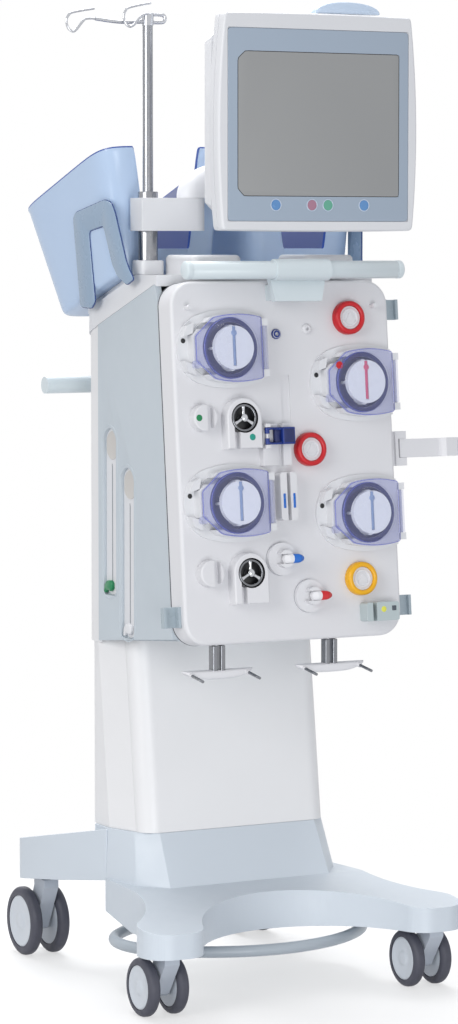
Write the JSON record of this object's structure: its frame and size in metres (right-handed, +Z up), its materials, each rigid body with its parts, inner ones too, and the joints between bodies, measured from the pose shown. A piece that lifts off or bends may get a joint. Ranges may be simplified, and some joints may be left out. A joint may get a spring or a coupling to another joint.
{
  "type": "dialysis machine",
  "caption": "Upright dialysis machine on a wheeled column stand with hinged pump covers, tilting screen, infusion pole, fluid trays and a foot brake ring.",
  "frame": {"origin": "on the floor, at the bottom centre of the machine's bounding box", "axes": "+Z up, -Y towards the operator at the front panel, +X to the operator's right"},
  "size_m": [0.6841, 0.7085, 1.7074],
  "materials": {
    "casting": "satin powder coat",
    "castor_plastic": "satin",
    "castor_tyre": "matte",
    "coated_tube": "satin",
    "cover_clear": "glossy",
    "grey_blue": "satin",
    "inner_metal": "matte",
    "lamp_lens": "glossy",
    "lever_blue": "glossy",
    "lever_red": "glossy",
    "lid_blue": "glossy",
    "port_collar": "satin",
    "pump_body": "satin",
    "rotor_white": "satin",
    "screen_glass": "glossy",
    "steel_tube": "polished",
    "tray_clear": "glossy",
    "white_shell": "satin"
  },
  "bodies": {
    "stand": {"bag_hooks": "coated_tube", "base_front": "casting", "base_rear": "casting", "brake_hanger": "inner_metal", "cabinet_floor": "white_shell", "column_front": "white_shell", "column_rear": "grey_blue", "edge_fittings": "white_shell", "front_panel": "white_shell", "handle_bracket": "coated_tube", "handle_front": "coated_tube", "line_fittings": "white_shell", "line_mounts": "white_shell", "line_sensors": "white_shell", "monitor_bracket": "white_shell", "pole_tube": "steel_tube", "port_rings": "port_collar", "pump_beds": "pump_body", "pump_motors": "inner_metal", "push_bar": "coated_tube", "rear_housing": "grey_blue", "scale_heads": "white_shell", "side_panel_left": "grey_blue", "side_panel_right": "grey_blue", "spine": "inner_metal", "top_cover": "white_shell", "tray_left": "tray_clear", "tray_right": "tray_clear"},
    "castor_front_left_fork": {"castor_front_left_hood": "castor_plastic"},
    "castor_front_left_wheel_pair": {"castor_front_left_wheels": "castor_tyre"},
    "castor_front_right_fork": {"castor_front_right_hood": "castor_plastic"},
    "castor_front_right_wheel_pair": {"castor_front_right_wheels": "castor_tyre"},
    "castor_rear_left_fork": {"castor_rear_left_hood": "castor_plastic"},
    "castor_rear_left_wheel_pair": {"castor_rear_left_wheels": "castor_tyre"},
    "castor_rear_right_fork": {"castor_rear_right_hood": "castor_plastic"},
    "castor_rear_right_wheel_pair": {"castor_rear_right_wheels": "castor_tyre"},
    "foot_brake": {"brake_ring": "coated_tube"},
    "pole_upper": {"pole_rod": "steel_tube", "pole_hooks": "steel_tube"},
    "screen_arm": {"monitor_arm": "white_shell"},
    "screen": {"monitor_bezel": "white_shell", "monitor_glass": "screen_glass", "monitor_shell": "white_shell", "status_lamp": "lamp_lens"},
    "pump_1_rotor": {"pump_rotor_1": "rotor_white"},
    "pump_1_cover": {"pump_cover_1": "cover_clear"},
    "pump_2_rotor": {"pump_rotor_2": "rotor_white"},
    "pump_2_cover": {"pump_cover_2": "cover_clear"},
    "pump_3_rotor": {"pump_rotor_3": "rotor_white"},
    "pump_3_cover": {"pump_cover_3": "cover_clear"},
    "pump_4_rotor": {"pump_rotor_4": "rotor_white"},
    "pump_4_cover": {"pump_cover_4": "cover_clear"},
    "upper_dial": {"spoke_dial_upper": "steel_tube"},
    "upper_guide": {"tube_guide_upper": "white_shell"},
    "lower_dial": {"spoke_dial_lower": "steel_tube"},
    "lower_guide": {"tube_guide_lower": "white_shell"},
    "sensor_lid": {"detector_lid": "lid_blue"},
    "blue_lever": {"clamp_lever_blue": "lever_blue"},
    "red_lever": {"clamp_lever_red": "lever_red"},
    "filter_arm": {"holder_arm": "white_shell"}
  },
  "joints": [
    {"name": "castor_front_left_swivel", "type": "hinge", "parent": "stand", "child": "castor_front_left_fork", "pos_m": [-0.258, -0.303, 0.12], "axis": [0, 0, 1], "continuous": true},
    {"name": "castor_front_left_spin", "type": "hinge", "parent": "castor_front_left_fork", "child": "castor_front_left_wheel_pair", "pos_m": [-0.258, -0.271, 0.05], "axis": [1, 0, 0], "continuous": true},
    {"name": "castor_front_right_swivel", "type": "hinge", "parent": "stand", "child": "castor_front_right_fork", "pos_m": [0.258, -0.303, 0.12], "axis": [0, 0, 1], "continuous": true},
    {"name": "castor_front_right_spin", "type": "hinge", "parent": "castor_front_right_fork", "child": "castor_front_right_wheel_pair", "pos_m": [0.258, -0.271, 0.05], "axis": [1, 0, 0], "continuous": true},
    {"name": "castor_rear_left_swivel", "type": "hinge", "parent": "stand", "child": "castor_rear_left_fork", "pos_m": [-0.218, 0.257, 0.12], "axis": [0, 0, 1], "continuous": true},
    {"name": "castor_rear_left_spin", "type": "hinge", "parent": "castor_rear_left_fork", "child": "castor_rear_left_wheel_pair", "pos_m": [-0.218, 0.293, 0.0625], "axis": [1, 0, 0], "continuous": true},
    {"name": "castor_rear_right_swivel", "type": "hinge", "parent": "stand", "child": "castor_rear_right_fork", "pos_m": [0.218, 0.257, 0.12], "axis": [0, 0, 1], "continuous": true},
    {"name": "castor_rear_right_spin", "type": "hinge", "parent": "castor_rear_right_fork", "child": "castor_rear_right_wheel_pair", "pos_m": [0.218, 0.293, 0.0625], "axis": [1, 0, 0], "continuous": true},
    {"name": "foot_brake_rock", "type": "hinge", "parent": "stand", "child": "foot_brake", "pos_m": [0, 0.085, 0.108], "axis": [1, 0, 0], "range_deg": [-1, 5]},
    {"name": "pole_height", "type": "slide", "parent": "stand", "child": "pole_upper", "axis": [0, 0, 1], "range_m": [0, 0.1]},
    {"name": "screen_swivel", "type": "hinge", "parent": "stand", "child": "screen_arm", "pos_m": [-0.105, -0.098, 1.374], "axis": [0, 0, 1], "range_deg": [-60, 6]},
    {"name": "screen_tilt", "type": "hinge", "parent": "screen_arm", "child": "screen", "pos_m": [0.06, -0.1476, 1.4], "axis": [1, 0, 0], "range_deg": [-10, 4]},
    {"name": "pump_1_spin", "type": "hinge", "parent": "stand", "child": "pump_1_rotor", "pos_m": [-0.115, -0.23693, 1.11873], "axis": [0, -0.9954, 0.0953], "continuous": true},
    {"name": "pump_1_cover_hinge", "type": "hinge", "parent": "stand", "child": "pump_1_cover", "pos_m": [-0.047, -0.25784, 1.12073], "axis": [0, 0.0953, 0.9954], "range_deg": [0, 110]},
    {"name": "pump_2_spin", "type": "hinge", "parent": "stand", "child": "pump_2_rotor", "pos_m": [0.1385, -0.24284, 1.05701], "axis": [0, -0.9954, 0.0953], "continuous": true},
    {"name": "pump_2_cover_hinge", "type": "hinge", "parent": "stand", "child": "pump_2_cover", "pos_m": [0.2065, -0.26375, 1.05901], "axis": [0, 0.0953, 0.9954], "range_deg": [0, 110]},
    {"name": "pump_3_spin", "type": "hinge", "parent": "stand", "child": "pump_3_rotor", "pos_m": [-0.115, -0.26181, 0.85892], "axis": [0, -0.9954, 0.0953], "continuous": true},
    {"name": "pump_3_cover_hinge", "type": "hinge", "parent": "stand", "child": "pump_3_cover", "pos_m": [-0.047, -0.28272, 0.86092], "axis": [0, 0.0953, 0.9954], "range_deg": [0, 110]},
    {"name": "pump_4_spin", "type": "hinge", "parent": "stand", "child": "pump_4_rotor", "pos_m": [0.1385, -0.2642, 0.83403], "axis": [0, -0.9954, 0.0953], "continuous": true},
    {"name": "pump_4_cover_hinge", "type": "hinge", "parent": "stand", "child": "pump_4_cover", "pos_m": [0.2065, -0.2851, 0.83603], "axis": [0, 0.0953, 0.9954], "range_deg": [0, 110]},
    {"name": "upper_dial_turn", "type": "hinge", "parent": "stand", "child": "upper_dial", "pos_m": [-0.092, -0.24818, 1.00127], "axis": [0, -0.9954, 0.0953], "range_deg": [-90, 90]},
    {"name": "upper_guide_turn", "type": "hinge", "parent": "stand", "child": "upper_guide", "pos_m": [-0.163, -0.24799, 1.00326], "axis": [0, -0.9954, 0.0953], "range_deg": [0, 90]},
    {"name": "lower_dial_turn", "type": "hinge", "parent": "stand", "child": "lower_dial", "pos_m": [-0.092, -0.27316, 0.74046], "axis": [0, -0.9954, 0.0953], "range_deg": [-90, 90]},
    {"name": "lower_guide_turn", "type": "hinge", "parent": "stand", "child": "lower_guide", "pos_m": [-0.163, -0.27297, 0.74245], "axis": [0, -0.9954, 0.0953], "range_deg": [0, 90]},
    {"name": "sensor_lid_hinge", "type": "hinge", "parent": "stand", "child": "sensor_lid", "pos_m": [-0.049, -0.27214, 0.97141], "axis": [0, -0.0953, -0.9954], "range_deg": [0, 100]},
    {"name": "blue_lever_lift", "type": "hinge", "parent": "stand", "child": "blue_lever", "pos_m": [-0.023, -0.28708, 0.76289], "axis": [0, -0.0953, -0.9954], "range_deg": [0, 75]},
    {"name": "red_lever_lift", "type": "hinge", "parent": "stand", "child": "red_lever", "pos_m": [0.028, -0.29328, 0.69818], "axis": [0, -0.0953, -0.9954], "range_deg": [0, 75]},
    {"name": "filter_arm_swing", "type": "hinge", "parent": "stand", "child": "filter_arm", "pos_m": [0.234, -0.23987, 0.9412], "axis": [0, 0.0953, 0.9954], "range_deg": [-85, 80]}
  ]
}
